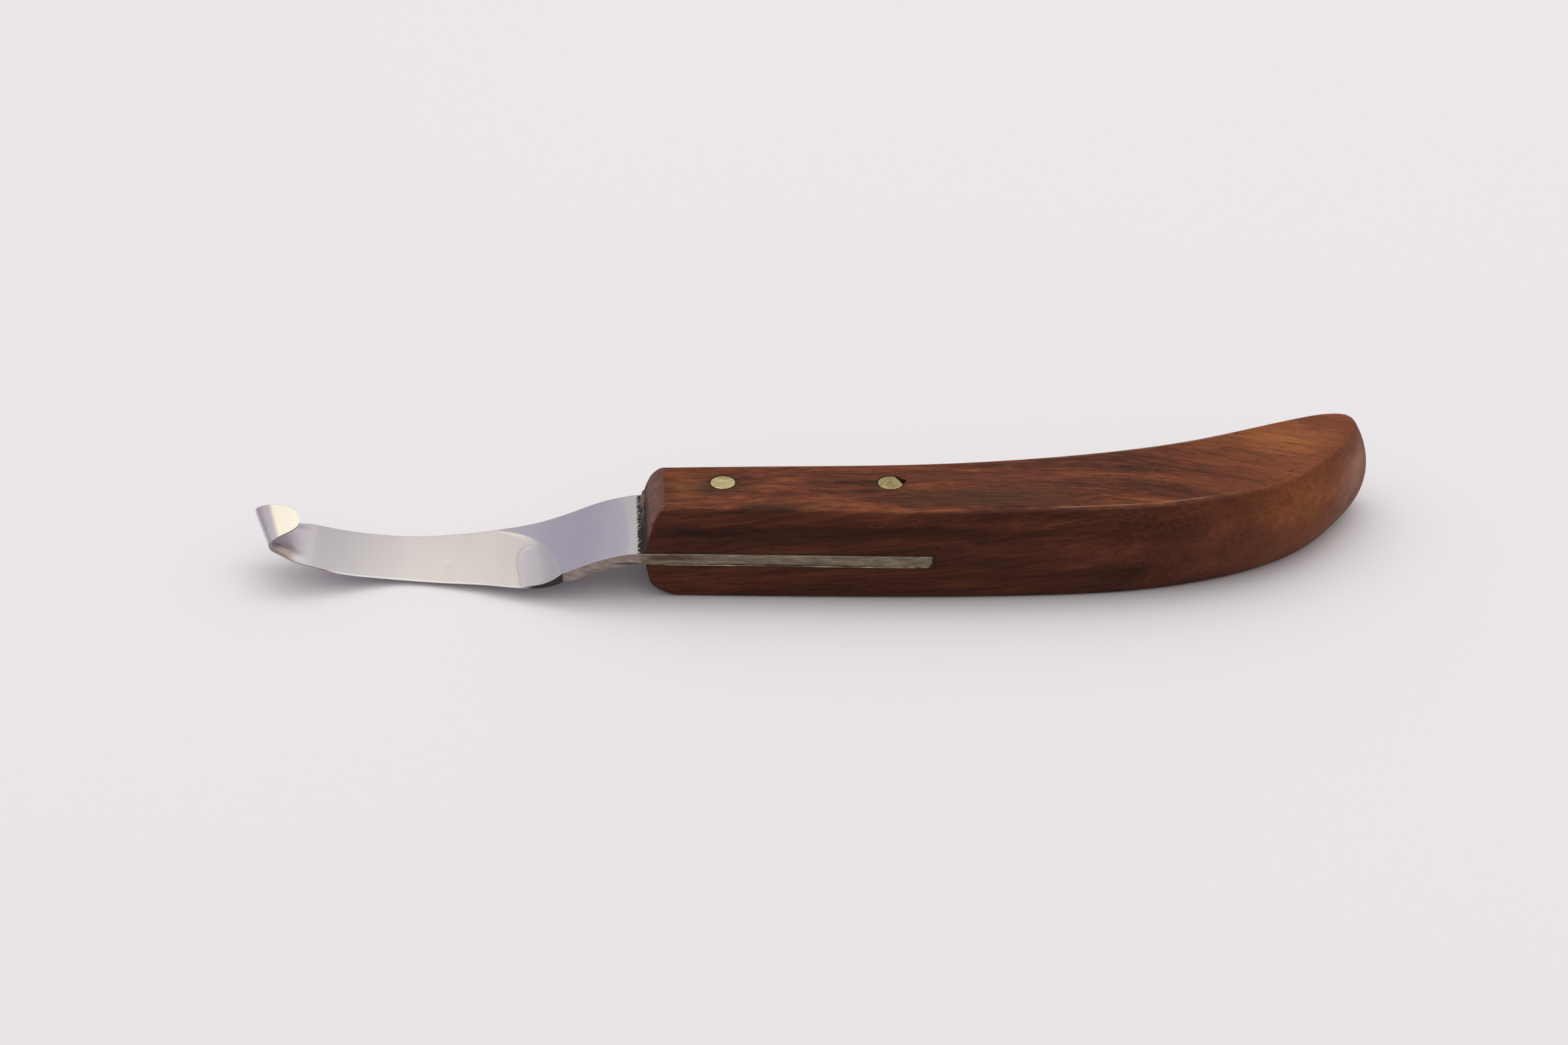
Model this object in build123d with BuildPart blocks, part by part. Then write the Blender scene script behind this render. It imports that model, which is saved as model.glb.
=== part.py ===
from build123d import *
import os

# Hook knife of the hoof-knife pattern, in millimetres.
# +X points towards the butt of the handle, +Y away from the cutting edge and +Z up.
# The origin is on the handle's lower flat face, midway between the two pins.

# Handle
HANDLE_HEIGHT = 19.0
MID_HEIGHT = HANDLE_HEIGHT / 2
HANDLE_FRONT = -30.8
FRONT_SKEW = 3.0

# Tang, saw kerf and glue
TANG_THICKNESS = 2.3
TANG_END = 23.4
GLUE_FILM = 0.15
KERF_END = TANG_END + 0.5
KERF_HEIGHT = TANG_THICKNESS + 2 * GLUE_FILM
# Long enough to reach from the kerf's end past the handle's front end.
KERF_REACH = 80.0
# The film stops this share of the side's lean inside the handle's outline.
FILM_INSET = 0.01
GLUE_BEAD = 1.0
GLUE_BEAD_BACK = 8.8
GLUE_BEAD_LENGTH = 15.0

# Pins
PIN_DIAMETER = 4.76
PIN_PITCH = 31.5

# Hook
TONGUE_TOP = 11.3
TONGUE_THICKNESS = 1.0

TANG_TOP = MID_HEIGHT + TANG_THICKNESS / 2
TANG_BOTTOM = MID_HEIGHT - TANG_THICKNESS / 2

# The handle's side at mid-height, walked from the front end along the cutting-edge side,
# round the butt and back: x, y, then how far the side leans in at the top and bottom faces.
HANDLE_STATIONS = [
    (-36.0, -12.3, 2.6, 2.5),
    (-6.0, -12.7, 2.9, 2.3),
    (24.0, -13.2, 2.7, 2.7),
    (47.0, -12.3, 2.8, 2.6),
    (63.0, -11.0, 2.8, 3.1),
    (76.0, -8.3, 2.8, 3.8),
    (88.0, -3.5, 2.8, 4.3),
    (98.9, 4.9, 2.8, 4.3),
    (106.2, 15.5, 2.8, 3.9),
    (109.1, 25.0, 3.0, 3.3),
    (107.3, 29.0, 3.0, 3.0),
    (102.5, 30.4, 3.0, 3.0),
    (96.0, 29.0, 3.1, 3.1),
    (75.0, 20.4, 3.2, 3.2),
    (50.0, 14.0, 3.3, 3.3),
    (24.0, 10.8, 3.4, 3.4),
    (-6.0, 9.9, 3.5, 3.5),
    (-36.0, 9.3, 3.7, 3.7),
]

# The rounded nose of the handle's front end in side view, from the bottom face to the top face,
# measured back from the foremost point and up from the bottom face.
FRONT_NOSE = [(5.8, 0), (2.6, 1.8), (0.6, 5.6), (0, 10.6), (0.8, 14.4), (2.1, 17.6), (3.9, HANDLE_HEIGHT)]
# Lengths that reach safely past the handle, along it and to each side.
HANDLE_REACH = 160.0
SIDE_REACH = 60.0

# Side views of the blade as x and z, in two planes along Y: FRONT_Y near the cutting edge and
# BACK_Y at the spine. The ground top face is lower near the edge, and the roll of the hook is
# skewed, so its back side reaches further forward. Straight lines join one side to the other.
FRONT_Y = -9.0
BACK_Y = 3.8
FRONT_TOP = [(-33.0, TANG_TOP), (-36.5, 9.85), (-41.4, 8.2), (-46.5, 6.0), (-53.0, 3.4), (-62.0, 1.8),
             (-75.0, 1.0), (-85.6, 3.2), (-93.2, 6.2)]
BACK_TOP = [(-33.0, TANG_TOP), (-36.5, 9.85), (-41.4, 8.2), (-46.5, 6.0), (-53.0, 3.85), (-62.0, 2.55),
            (-75.0, 1.9), (-85.6, 4.1), (-93.2, 7.1)]
FRONT_INNER = [(-93.2, 6.2), (-96.4, 7.6), (-98.2, 8.6), (-99.4, 9.5), (-99.3, 10.1), (-98.5, 10.3)]
BACK_INNER = [(-93.2, 7.1), (-98.0, 8.2), (-101.9, 9.15), (-103.5, 9.7), (-103.6, 10.1), (-102.8, 10.3)]
FRONT_OUTER = [(-98.5, 11.3), (-99.9, 11.0), (-100.5, 9.9), (-99.2, 8.2), (-97.0, 6.7), (-93.2, 5.2)]
BACK_OUTER = [(-102.8, 11.3), (-104.3, 11.0), (-104.9, 9.7), (-102.6, 8.2), (-98.5, 7.15), (-93.2, 5.9)]
FRONT_UNDER = [(-93.2, 5.2), (-85.6, 2.4), (-75.0, 0.35), (-62.0, 0.85), (-53.0, 1.85), (-46.5, 3.55),
               (-41.4, 5.7), (-36.5, 7.48), (-33.0, TANG_BOTTOM)]
BACK_UNDER = [(-93.2, 5.9), (-85.6, 2.6), (-75.0, 0.35), (-62.0, 0.85), (-53.0, 1.85), (-46.5, 3.55),
              (-41.4, 5.7), (-36.5, 7.48), (-33.0, TANG_BOTTOM)]
TONGUE_END = -94.2
STRIP_CURVES = [
    (FRONT_TOP, BACK_TOP),
    (FRONT_INNER, BACK_INNER),
    (FRONT_OUTER, BACK_OUTER),
    (FRONT_UNDER, BACK_UNDER),
]
STRIP_FRONT = -13.4
STRIP_BACK = 10.9

# Blade in plan: the cutting edge from the crank to the hook, then the spine back again.
CUTTING_EDGE = [(-46.0, -12.4), (-54.0, -11.4), (-62.0, -8.8), (-76.0, -6.3), (-87.5, -8.1), (-97.2, -8.7)]
SPINE = [(-93.2, 3.8), (-78.0, 7.5), (-62.0, 8.5), (-51.0, 9.5), (-44.0, 9.6)]
TANG_CORNERS = [(-33.0, 9.4), (TANG_END, 10.85), (TANG_END, -13.2), (-33.0, -12.35)]
# Beyond the hook and beyond both sides of the blade.
HOOK_TIP = -110.0
BLADE_SIDE = 20.0

# Underside bevel: x, then y and z where it starts on the underside, and its rise to the edge.
BEVEL_STATIONS = [
    (-46.5, -9.5, 3.45, 0.2),
    (-50.0, -8.4, 2.45, 0.75),
    (-55.0, -7.0, 1.55, 1.05),
    (-62.0, -4.8, 0.85, 0.65),
    (-75.0, -2.3, 0.35, 0.55),
    (-85.6, -3.7, 2.4, 0.5),
    (-97.7, -5.0, 6.6, 0.4),
]
BEVEL_WIDTH = 4.0

# The tongue's rounded end in plan, from the front side of the roll to the back side.
TONGUE_OUTLINE = [(-100.5, -9.4), (-97.4, -6.7), (-95.9, -2.0), (-97.9, 2.4), (-102.5, 4.0)]


def handle_outline(lean_top, lean_bottom):
    """Points of the handle's outline, moved inwards by shares of each station's two leans."""
    points = []
    last = len(HANDLE_STATIONS) - 1
    for i, (x, y, top, bottom) in enumerate(HANDLE_STATIONS):
        before = HANDLE_STATIONS[max(i - 1, 0)]
        after = HANDLE_STATIONS[min(i + 1, last)]
        along = Vector(after[0] - before[0], after[1] - before[1]).normalized()
        inwards = Vector(-along.Y, along.X)
        points.append(Vector(x, y) + inwards * (top * lean_top + bottom * lean_bottom))
    return points


def carried_to(y, front, back):
    """Side-view points in the plane at y, on the straight lines from the front to the back side."""
    share = (y - FRONT_Y) / (BACK_Y - FRONT_Y)
    return [(f[0] + (b[0] - f[0]) * share, f[1] + (b[1] - f[1]) * share) for f, b in zip(front, back)]


# The handle's front end is cut a little askew, so its side view lies in this plane.
side_plane = Plane(Location((HANDLE_FRONT, 0, 0), (90, FRONT_SKEW, 0)))

os.makedirs("parts", exist_ok=True)

# Handle: one piece of wood, flat above and below, with barrel-shaped sides.
with BuildPart() as handle:
    for height, lean_top, lean_bottom in ((0, 0, 1), (MID_HEIGHT, 0, 0), (HANDLE_HEIGHT, 1, 0)):
        outline = handle_outline(lean_top, lean_bottom)
        with BuildSketch(Plane.XY.offset(height)):
            with BuildLine():
                side = Spline(*outline)
                Line(side @ 1, side @ 0)
            make_face()
    loft()
    with BuildSketch(side_plane):
        with BuildLine():
            Spline(*FRONT_NOSE, tangents=((-1, 0), (1, 0)))
            Polyline(FRONT_NOSE[-1], (HANDLE_REACH, HANDLE_HEIGHT), (HANDLE_REACH, 0), FRONT_NOSE[0])
        make_face()
    extrude(amount=SIDE_REACH, both=True, mode=Mode.INTERSECT)
    with BuildSketch(Plane.XZ):
        with Locations((KERF_END, MID_HEIGHT)):
            Rectangle(KERF_REACH, KERF_HEIGHT, align=(Align.MAX, Align.CENTER))
    extrude(amount=SIDE_REACH, both=True, mode=Mode.SUBTRACT)
    with BuildSketch(Plane.XY):
        with GridLocations(PIN_PITCH, 0, 2, 1):
            Circle(PIN_DIAMETER / 2)
    extrude(amount=HANDLE_HEIGHT, mode=Mode.SUBTRACT)
handle.part.label = "handle"

# Blade: a steel strip with a flat tang, a crank, a ground blade and a hook rolled at the tip.
with BuildPart() as blade:
    for y in (STRIP_FRONT, STRIP_BACK):
        with BuildSketch(Plane.XZ.offset(-y)):
            with BuildLine():
                for front, back in STRIP_CURVES:
                    Spline(*carried_to(y, front, back))
                tongue_bottom = carried_to(y, FRONT_INNER, BACK_INNER)[-1]
                tongue_top = carried_to(y, FRONT_OUTER, BACK_OUTER)[0]
                Polyline(
                    tongue_bottom,
                    (TONGUE_END, tongue_bottom[1]),
                    (TONGUE_END, tongue_top[1]),
                    tongue_top,
                )
                Polyline(
                    FRONT_UNDER[-1],
                    (TANG_END, TANG_BOTTOM),
                    (TANG_END, TANG_TOP),
                    FRONT_TOP[0],
                )
            make_face()
    loft(ruled=True)
    with BuildSketch(Plane.XY):
        with BuildLine():
            Spline(*CUTTING_EDGE)
            Polyline(CUTTING_EDGE[-1], (HOOK_TIP, CUTTING_EDGE[-1][1]), (HOOK_TIP, SPINE[0][1]), SPINE[0])
            Spline(*SPINE)
            Polyline(SPINE[-1], *TANG_CORNERS, CUTTING_EDGE[0])
        make_face()
    extrude(amount=HANDLE_HEIGHT, mode=Mode.INTERSECT)
    with BuildSketch(Plane.XY.offset(TONGUE_TOP - TONGUE_THICKNESS)):
        with Locations((TONGUE_END, 0)):
            Rectangle(BLADE_SIDE, 2 * BLADE_SIDE)
        with BuildLine():
            rounded_end = Spline(*TONGUE_OUTLINE)
            Polyline(rounded_end @ 1, (HOOK_TIP, BLADE_SIDE), (HOOK_TIP, -BLADE_SIDE), rounded_end @ 0)
        make_face(mode=Mode.SUBTRACT)
    extrude(amount=TONGUE_THICKNESS, mode=Mode.SUBTRACT)
    for x, start_y, start_z, rise in BEVEL_STATIONS:
        with BuildSketch(Plane.YZ.offset(x)):
            with BuildLine():
                Polyline(
                    (start_y, start_z),
                    (start_y - 2 * BEVEL_WIDTH, start_z + 2 * rise),
                    (start_y - 2 * BEVEL_WIDTH, start_z - BEVEL_WIDTH),
                    close=True,
                )
            make_face()
    loft(mode=Mode.SUBTRACT)
    with BuildSketch(Plane.XY):
        with GridLocations(PIN_PITCH, 0, 2, 1):
            Circle(PIN_DIAMETER / 2)
    extrude(amount=HANDLE_HEIGHT, mode=Mode.SUBTRACT)
blade.part.label = "blade"

# Pins: brass rods through wood, glue and tang, filed flush with both flat faces.
with BuildPart() as front_pin:
    with Locations((-PIN_PITCH / 2, 0, 0)):
        Cylinder(PIN_DIAMETER / 2, HANDLE_HEIGHT, align=(Align.CENTER, Align.CENTER, Align.MIN))
front_pin.part.label = "front_pin"

with BuildPart() as rear_pin:
    with Locations((PIN_PITCH / 2, 0, 0)):
        Cylinder(PIN_DIAMETER / 2, HANDLE_HEIGHT, align=(Align.CENTER, Align.CENTER, Align.MIN))
rear_pin.part.label = "rear_pin"

# Adhesive: a thin film above and below the tang, a fill at the kerf's end and the bead that was
# squeezed out on top of the tang at the handle's front end.
with BuildPart() as adhesive:
    with BuildSketch(Plane.XY.offset(MID_HEIGHT - KERF_HEIGHT / 2)):
        with BuildLine():
            side = Spline(*handle_outline(FILM_INSET, FILM_INSET))
            Line(side @ 1, side @ 0)
        make_face()
    extrude(amount=KERF_HEIGHT)
    with BuildSketch(side_plane):
        Rectangle(HANDLE_REACH, HANDLE_HEIGHT, align=(Align.MIN, Align.MIN))
    extrude(amount=SIDE_REACH, both=True, mode=Mode.INTERSECT)
    split(bisect_by=Plane.YZ.offset(KERF_END), keep=Keep.BOTTOM)
    with BuildSketch(Plane.XZ):
        with Locations((TANG_END, MID_HEIGHT)):
            Rectangle(KERF_REACH, TANG_THICKNESS, align=(Align.MAX, Align.CENTER))
    extrude(amount=SIDE_REACH, both=True, mode=Mode.SUBTRACT)
    with BuildSketch(Plane.XY):
        with GridLocations(PIN_PITCH, 0, 2, 1):
            Circle(PIN_DIAMETER / 2)
    extrude(amount=HANDLE_HEIGHT, mode=Mode.SUBTRACT)
    with BuildSketch(side_plane.offset(-GLUE_BEAD_BACK)):
        with BuildLine():
            Line((0, TANG_TOP), (0, TANG_TOP + GLUE_BEAD))
            RadiusArc((0, TANG_TOP + GLUE_BEAD), (-GLUE_BEAD, TANG_TOP), -GLUE_BEAD)
            Line((-GLUE_BEAD, TANG_TOP), (0, TANG_TOP))
        make_face()
    extrude(amount=GLUE_BEAD_LENGTH)
adhesive.part.label = "adhesive"

for name, piece in (
    ("handle", handle),
    ("blade", blade),
    ("front_pin", front_pin),
    ("rear_pin", rear_pin),
    ("adhesive", adhesive),
):
    export_step(piece.part, f"parts/{name}.step")
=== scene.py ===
import math

import bmesh
import bpy
import numpy as np
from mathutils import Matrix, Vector, noise


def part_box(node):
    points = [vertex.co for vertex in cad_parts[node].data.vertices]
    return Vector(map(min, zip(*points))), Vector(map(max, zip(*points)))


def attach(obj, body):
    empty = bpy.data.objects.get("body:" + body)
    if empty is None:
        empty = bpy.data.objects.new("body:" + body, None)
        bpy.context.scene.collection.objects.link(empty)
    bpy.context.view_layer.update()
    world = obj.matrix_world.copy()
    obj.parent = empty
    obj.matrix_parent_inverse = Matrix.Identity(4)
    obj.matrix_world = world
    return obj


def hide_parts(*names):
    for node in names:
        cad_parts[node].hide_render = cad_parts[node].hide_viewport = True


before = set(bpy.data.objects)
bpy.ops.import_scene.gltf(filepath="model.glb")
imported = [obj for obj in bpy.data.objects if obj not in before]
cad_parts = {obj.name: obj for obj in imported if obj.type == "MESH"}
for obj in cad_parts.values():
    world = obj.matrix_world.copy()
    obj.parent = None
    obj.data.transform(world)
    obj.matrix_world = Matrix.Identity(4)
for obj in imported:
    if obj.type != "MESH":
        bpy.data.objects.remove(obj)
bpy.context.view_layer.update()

# Lengths below are in millimetres, in the frame's own axes; MM turns them into metres.
MM = 0.001
SEED = 7
# Cutters reach this far from the frame's axes, well past what they cut.
CUT_SIDE = 60
CUT_UP = 40
CUT_DOWN = 5


def box_mm(node):
    """A CAD node's lowest and highest corners, in millimetres."""
    low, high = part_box(node)
    return low / MM, high / MM


HANDLE_LOW, HANDLE_HIGH = box_mm("handle")
HEIGHT = HANDLE_HIGH.z - HANDLE_LOW.z
MIDDLE = HEIGHT / 2
TANG_END = box_mm("blade")[1].x
TANG_THICKNESS = 2.3
TANG_TOP = MIDDLE + TANG_THICKNESS / 2
PIN_CENTRES = [(box_mm(pin)[0] + box_mm(pin)[1]) / 2 for pin in ("front_pin", "rear_pin")]
PIN_RADIUS = (box_mm("front_pin")[1].x - box_mm("front_pin")[0].x) / 2


# ---- curves and meshes ----


def spline(knots, values, at):
    """A natural cubic spline through values at knots, read at the positions in at."""
    knots, values, at = (np.asarray(a, float) for a in (knots, values, at))
    if values.ndim == 1:
        return spline(knots, values[:, None], at)[..., 0]
    gap = np.diff(knots)
    slope = np.diff(values, axis=0) / gap[:, None]
    system = np.eye(len(knots))
    right = np.zeros_like(values)
    for i in range(1, len(knots) - 1):
        system[i, i - 1 : i + 2] = gap[i - 1], 2 * (gap[i - 1] + gap[i]), gap[i]
        right[i] = 6 * (slope[i] - slope[i - 1])
    bend = np.linalg.solve(system, right)
    i = np.clip(np.searchsorted(knots, at) - 1, 0, len(knots) - 2)
    g = gap[i][..., None]
    a = (knots[i + 1] - at)[..., None] / g
    b = 1 - a
    straight = a * values[i] + b * values[i + 1]
    return straight + ((a**3 - a) * bend[i] + (b**3 - b) * bend[i + 1]) * g**2 / 6


def along(points, x):
    """The second column of points as a smooth function of the first, read at x."""
    table = np.array(sorted(points), float)
    return spline(table[:, 0], table[:, 1], x)


def lengths_along(points):
    """How far along a polyline each of its points lies."""
    steps = np.linalg.norm(np.diff(points, axis=0), axis=1)
    return np.concatenate([[0], np.cumsum(steps)])


def smooth_path(points, shares):
    """Points on a smooth curve through the given ones, at shares of its length."""
    points = np.asarray(points, float)
    knots = lengths_along(points)
    return spline(knots, points, np.asarray(shares) * knots[-1])


def ramp(edge0, edge1, x):
    """0 before edge0, 1 after edge1, and a smooth step between them."""
    t = np.clip((x - edge0) / (edge1 - edge0), 0, 1)
    return t * t * (3 - 2 * t)


def mesh_piece(name, verts, faces, smooth_angle=40):
    """A new piece from points in millimetres."""
    mesh = bpy.data.meshes.new(name)
    mesh.from_pydata([tuple(v) for v in np.asarray(verts, float) * MM], [], faces)
    mesh.validate()
    piece = bpy.data.objects.new(name, mesh)
    bpy.context.scene.collection.objects.link(piece)
    recalculate_outside(piece)
    sharpen(piece, smooth_angle)
    return piece


def tube_faces(rows, around):
    """Quads between successive closed rows of points."""
    faces = []
    for r in range(rows - 1):
        for i in range(around):
            a = r * around + i
            b = r * around + (i + 1) % around
            faces.append((a, b, b + around, a + around))
    return faces


def tube_piece(name, loops, smooth_angle=40):
    """A closed piece whose skin runs through the loops of points, with its two ends filled."""
    around = len(loops[0])
    verts = np.vstack(loops)
    faces = tube_faces(len(loops), around)
    faces.append(tuple(range(around))[::-1])
    faces.append(tuple(range(len(verts) - around, len(verts))))
    return mesh_piece(name, verts, faces, smooth_angle)


def store(piece, name, values):
    """Keeps one number for each point of the mesh, for its material to read."""
    attribute = piece.data.attributes.new(name, "FLOAT", "POINT")
    attribute.data.foreach_set("value", np.asarray(values, np.float32))


def cut_away(piece, cutters):
    """Cuts the cutters' shapes out of the piece and removes them."""
    for cutter in cutters:
        cut = piece.modifiers.new("cut", "BOOLEAN")
        cut.operation = "DIFFERENCE"
        cut.solver = "EXACT"
        cut.object = cutter
        shaped = bpy.data.meshes.new_from_object(piece.evaluated_get(bpy.context.evaluated_depsgraph_get()))
        piece.modifiers.clear()
        old, piece.data = piece.data, shaped
        bpy.data.meshes.remove(old)
        bpy.data.objects.remove(cutter)
    sharpen(piece, 40)


def prism(name, outline, low, high):
    """A solid between two heights with a given outline in plan."""
    return tube_piece(name, [[(x, y, z) for x, y in outline] for z in (low, high)])


def box_between(name, low, high):
    """A block between two opposite corners."""
    corners = [(low[0], low[1]), (high[0], low[1]), (high[0], high[1]), (low[0], high[1])]
    return prism(name, corners, low[2], high[2])


def sharpen(piece, smooth_angle):
    """Makes the piece smooth but for its edges sharper than smooth_angle."""
    piece.data.shade_smooth()
    piece.data.set_sharp_from_angle(angle=math.radians(smooth_angle))


def recalculate_outside(piece):
    """Turns all faces outwards."""
    work = bmesh.new()
    work.from_mesh(piece.data)
    bmesh.ops.recalc_face_normals(work, faces=work.faces)
    work.to_mesh(piece.data)
    work.free()


# ---- handle ----

# The handle's side at mid-height, from the front end along the near side, round the butt and
# back: x, y, then how far the side leans in at the top and at the bottom.
HANDLE_STATIONS = [
    (-36, -12.3, 2.6, 2.5), (-6, -12.7, 2.9, 2.3), (24, -13.2, 2.7, 2.7),
    (47, -12.3, 2.8, 2.6), (63, -11, 2.8, 3.1), (76, -8.3, 2.8, 3.8),
    (88, -3.5, 2.8, 4.3), (98.9, 4.9, 2.8, 4.3), (106.2, 15.5, 2.8, 3.9),
    (109.1, 25, 3, 3.3), (107.3, 29, 3, 3), (102.5, 30.4, 3, 3),
    (96, 29, 3.1, 3.1), (75, 20.4, 3.2, 3.2), (50, 14, 3.3, 3.3),
    (24, 10.8, 3.4, 3.4), (-6, 9.9, 3.5, 3.5), (-36, 9.3, 3.7, 3.7),
]
# The front end seen from the side: heights, and how far back it lies there.
NOSE = [
    (0, 5.8), (1.8, 2.6), (5.6, 0.6), (10.6, 0), (14.4, 0.85), (16.2, 1.5), (17.7, 2.4), (HEIGHT, 3.5),
]
FRONT_X = -30.8
FRONT_SKEW = math.tan(math.radians(3))
# How far the long edges and the front end's own edges are rounded.
CREASE_RADIUS = 0.9
NOSE_CREASE_RADIUS = 0.5
# The front end's far side is rounded off this much more than its near side.
NOSE_FAR_SHARE = 0.06
FRONT_NEAR_Y = HANDLE_STATIONS[0][1]
FRONT_FAR_Y = HANDLE_STATIONS[-1][1]
OUTLINE_POINTS = 900
SIDE_POINTS = 260
NOSE_POINTS = 30
SIDE_LEVELS = 34
CREASE_LEVELS = 8
# The top and bottom faces start this far inside the crease.
FACE_MARGIN = 0.35
KERF_LOW = MIDDLE - 1.3
KERF_HIGH = MIDDLE + 1.3
KERF_END = TANG_END + 0.5
# How much wider than a pin its hole in the wood is, all round.
PIN_GAP = 0.05
# A small void beside the rear pin's point, from the pin's centre.
PIN_VOID = (2.25, 0.55, 0)
VOID_RADIUS = 0.75
VOID_DEPTH = 1.6


def handle_loop(z, inset):
    """The handle's closed outline at height z, moved inwards by inset as well."""
    stations = np.array(HANDLE_STATIONS)
    ends = np.vstack([stations[:1], stations[:-1]]), np.vstack([stations[1:], stations[-1:]])
    tangent = (ends[1] - ends[0])[:, :2]
    tangent /= np.linalg.norm(tangent, axis=1)[:, None]
    inwards = np.column_stack([-tangent[:, 1], tangent[:, 0]])
    share = (z - MIDDLE) / MIDDLE
    lean = stations[:, 2 if share > 0 else 3] * share**2 + inset
    outline = smooth_path(stations[:, :2] + inwards * lean[:, None], np.linspace(0, 1, OUTLINE_POINTS))
    ahead = outline[:, 0] - front_x(outline[:, 1], z) - inset
    kept = outline[ahead > 0]
    near = crossing(outline, ahead, first=True)
    far = crossing(outline, ahead, first=False)
    side = np.vstack([near, kept, far])
    corner = NOSE_CREASE_RADIUS
    near_in, far_in = step_in(side, corner), step_in(side[::-1], corner)
    side = side[near_in[1] : len(side) - far_in[1]]
    side = np.vstack([near_in[0], side, far_in[0]])
    side = resample(side, SIDE_POINTS)
    across = (near - far) / np.linalg.norm(near - far)
    end_a, end_b = far + across * corner, near - across * corner
    front_row = [end_a + (end_b - end_a) * t for t in np.linspace(0, 1, NOSE_POINTS)]
    turns = np.linspace(0, 1, 7)[1:-1]
    round_far = [bezier(side[-1], far, end_a, t) for t in turns]
    round_near = [bezier(end_b, near, side[0], t) for t in turns]
    return np.vstack([side, round_far, front_row, round_near])


def front_x(y, z):
    """Where the handle's rounded front end lies at that place."""
    farther = 1 + NOSE_FAR_SHARE * (y - FRONT_NEAR_Y) / (FRONT_FAR_Y - FRONT_NEAR_Y)
    return FRONT_X - y * FRONT_SKEW + along(NOSE, z) * farther


def circle(x, y, radius, count):
    turns = np.linspace(0, 2 * math.pi, count, endpoint=False)
    return [(x + radius * math.cos(a), y + radius * math.sin(a)) for a in turns]


def bezier(a, b, c, t):
    return a * (1 - t) ** 2 + b * 2 * t * (1 - t) + c * t**2


def crossing(outline, ahead, first):
    """Where the outline passes the front end's line."""
    inside = np.nonzero(ahead > 0)[0]
    i = inside[0] - 1 if first else inside[-1]
    t = ahead[i] / (ahead[i] - ahead[i + 1])
    return outline[i] + (outline[i + 1] - outline[i]) * t


def step_in(points, distance):
    """The point at that distance along a polyline, and how many points come before it."""
    lengths = lengths_along(points)
    i = int(np.searchsorted(lengths, distance))
    t = (distance - lengths[i - 1]) / (lengths[i] - lengths[i - 1])
    return points[i - 1] + (points[i] - points[i - 1]) * t, i


def resample(points, count):
    """The polyline with count points, evenly spaced but closer at its two ends."""
    lengths = lengths_along(points)
    t = np.linspace(0, 1, count)
    shares = 0.9 * t + 0.1 * (0.5 - 0.5 * np.cos(math.pi * t))
    at = shares * lengths[-1]
    return np.column_stack([np.interp(at, lengths, points[:, k]) for k in (0, 1)])


def handle_profile():
    """Heights and extra insets from the bottom face, up the side and over the top crease."""
    side = np.linspace(CREASE_RADIUS, HEIGHT - CREASE_RADIUS, SIDE_LEVELS)
    turn = np.linspace(0, 1, CREASE_LEVELS)
    rise = CREASE_RADIUS * (1 - turn) ** 2
    over = CREASE_RADIUS * turn**2
    bottom = list(zip(rise, over))[::-1]
    top = [(HEIGHT - r, o) for r, o in zip(rise, over)]
    face = CREASE_RADIUS + FACE_MARGIN
    return [(0, face), *bottom, *[(z, 0) for z in side[1:-1]], *top, (HEIGHT, face)]


def make_handle():
    loops = []
    for z, inset in handle_profile():
        loop = handle_loop(z, inset)
        loops.append(np.column_stack([loop, np.full(len(loop), z)]))
    handle = tube_piece("handle_wood", loops, 50)
    cuts = [box_between("kerf", (-CUT_SIDE, -CUT_SIDE, KERF_LOW), (KERF_END, CUT_SIDE, KERF_HIGH))]
    for centre in PIN_CENTRES:
        hole = circle(centre.x, centre.y, PIN_RADIUS + PIN_GAP, 72)
        cuts.append(prism("pin_hole", hole, -CUT_DOWN, CUT_UP))
    void = PIN_CENTRES[1] + Vector(PIN_VOID)
    outline = circle(void.x, void.y, VOID_RADIUS, 24)
    cuts.append(prism("pin_void", outline, HEIGHT - VOID_DEPTH, CUT_UP))
    cut_away(handle, cuts)
    return handle


handle = make_handle()
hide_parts("handle")
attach(handle, "root")


# ---- blade ----

# Where the strip ends and the rolled hook starts.
HOOK_ROOT = -93.2
# Where the strip starts and ends being cranked, thins to its edge and starts to tilt.
CRANK_START = -31
CRANK_END = -46
THIN_START = -41
TILT_START = -70
# The strip's upper face along the spine, as x and height, before any grinding.
STRIP_TOP = [
    (TANG_END, TANG_TOP), (0, TANG_TOP), (-28, TANG_TOP), (CRANK_START, TANG_TOP), (-33.2, 10.53),
    (-35.5, 10.08), (-38.5, 9.27), (-41.4, 8.2), (-44.8, 6.72), (-48.3, 5.35), (-52, 4.22),
    (-57, 3.38), (-63, 2.7), (-70, 2.16), (-76, 2.23), (-81.8, 3.25), (-87.5, 4.9), (HOOK_ROOT, 7.12),
]
STRIP_THICKNESS = [
    (TANG_END, TANG_THICKNESS), (-33, 2.32), (-40, 2.48), (-44, 2.4), (-52, 2.2), (-62, 1.95),
    (-75, 1.84), (-86, 1.6), (HOOK_ROOT, 1.2),
]
# How much lower the underside lies at the near side than at the spine.
UNDER_TILT = [(TILT_START, 0), (-76, 0), (-86, 0.24), (HOOK_ROOT, 0.8)]
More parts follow.
